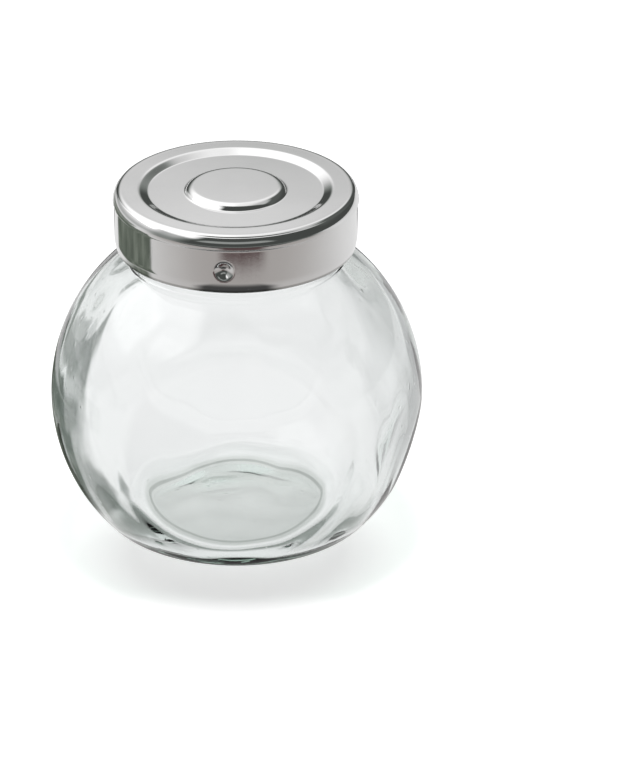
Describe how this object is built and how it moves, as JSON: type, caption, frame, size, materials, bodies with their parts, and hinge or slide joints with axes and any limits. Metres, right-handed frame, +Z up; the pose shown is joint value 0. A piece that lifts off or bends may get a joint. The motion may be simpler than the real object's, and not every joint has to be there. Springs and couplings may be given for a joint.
{
  "type": "spice jar",
  "caption": "Ball-shaped clear glass spice jar with flats to stand upright or lie tilted, and a stamped steel twist-off lid with a seal ring.",
  "frame": {"origin": "centre of the base, on the surface that the jar stands on", "axes": "+Z up along the neck and lid axis, +X towards the side with the tilt flat, the two side flats face -Y and +Y"},
  "size_m": [0.076, 0.061, 0.0743],
  "materials": {
    "clear_glass": "fire-polished clear glass with a faint green tint",
    "seal_compound": "smooth matte",
    "polished_steel": "bright satin polish with fine wear"
  },
  "bodies": {
    "jar": {"glass_jar": "clear_glass"},
    "seal": {"seal_ring": "seal_compound"},
    "lid": {"lid": "polished_steel"}
  },
  "joints": [
    {"name": "lid_lift", "type": "slide", "parent": "jar", "child": "seal", "axis": [0, 0, 1], "range_m": [0, 0.0135]},
    {"name": "lid_turn", "type": "hinge", "parent": "seal", "child": "lid", "pos_m": [0, 0, 0.074], "axis": [0, 0, 1], "range_deg": [0, 360]}
  ],
  "couplings": [
    {"joint": "lid_lift", "follows": "lid_turn", "m_per_rad": 0.0021485}
  ]
}
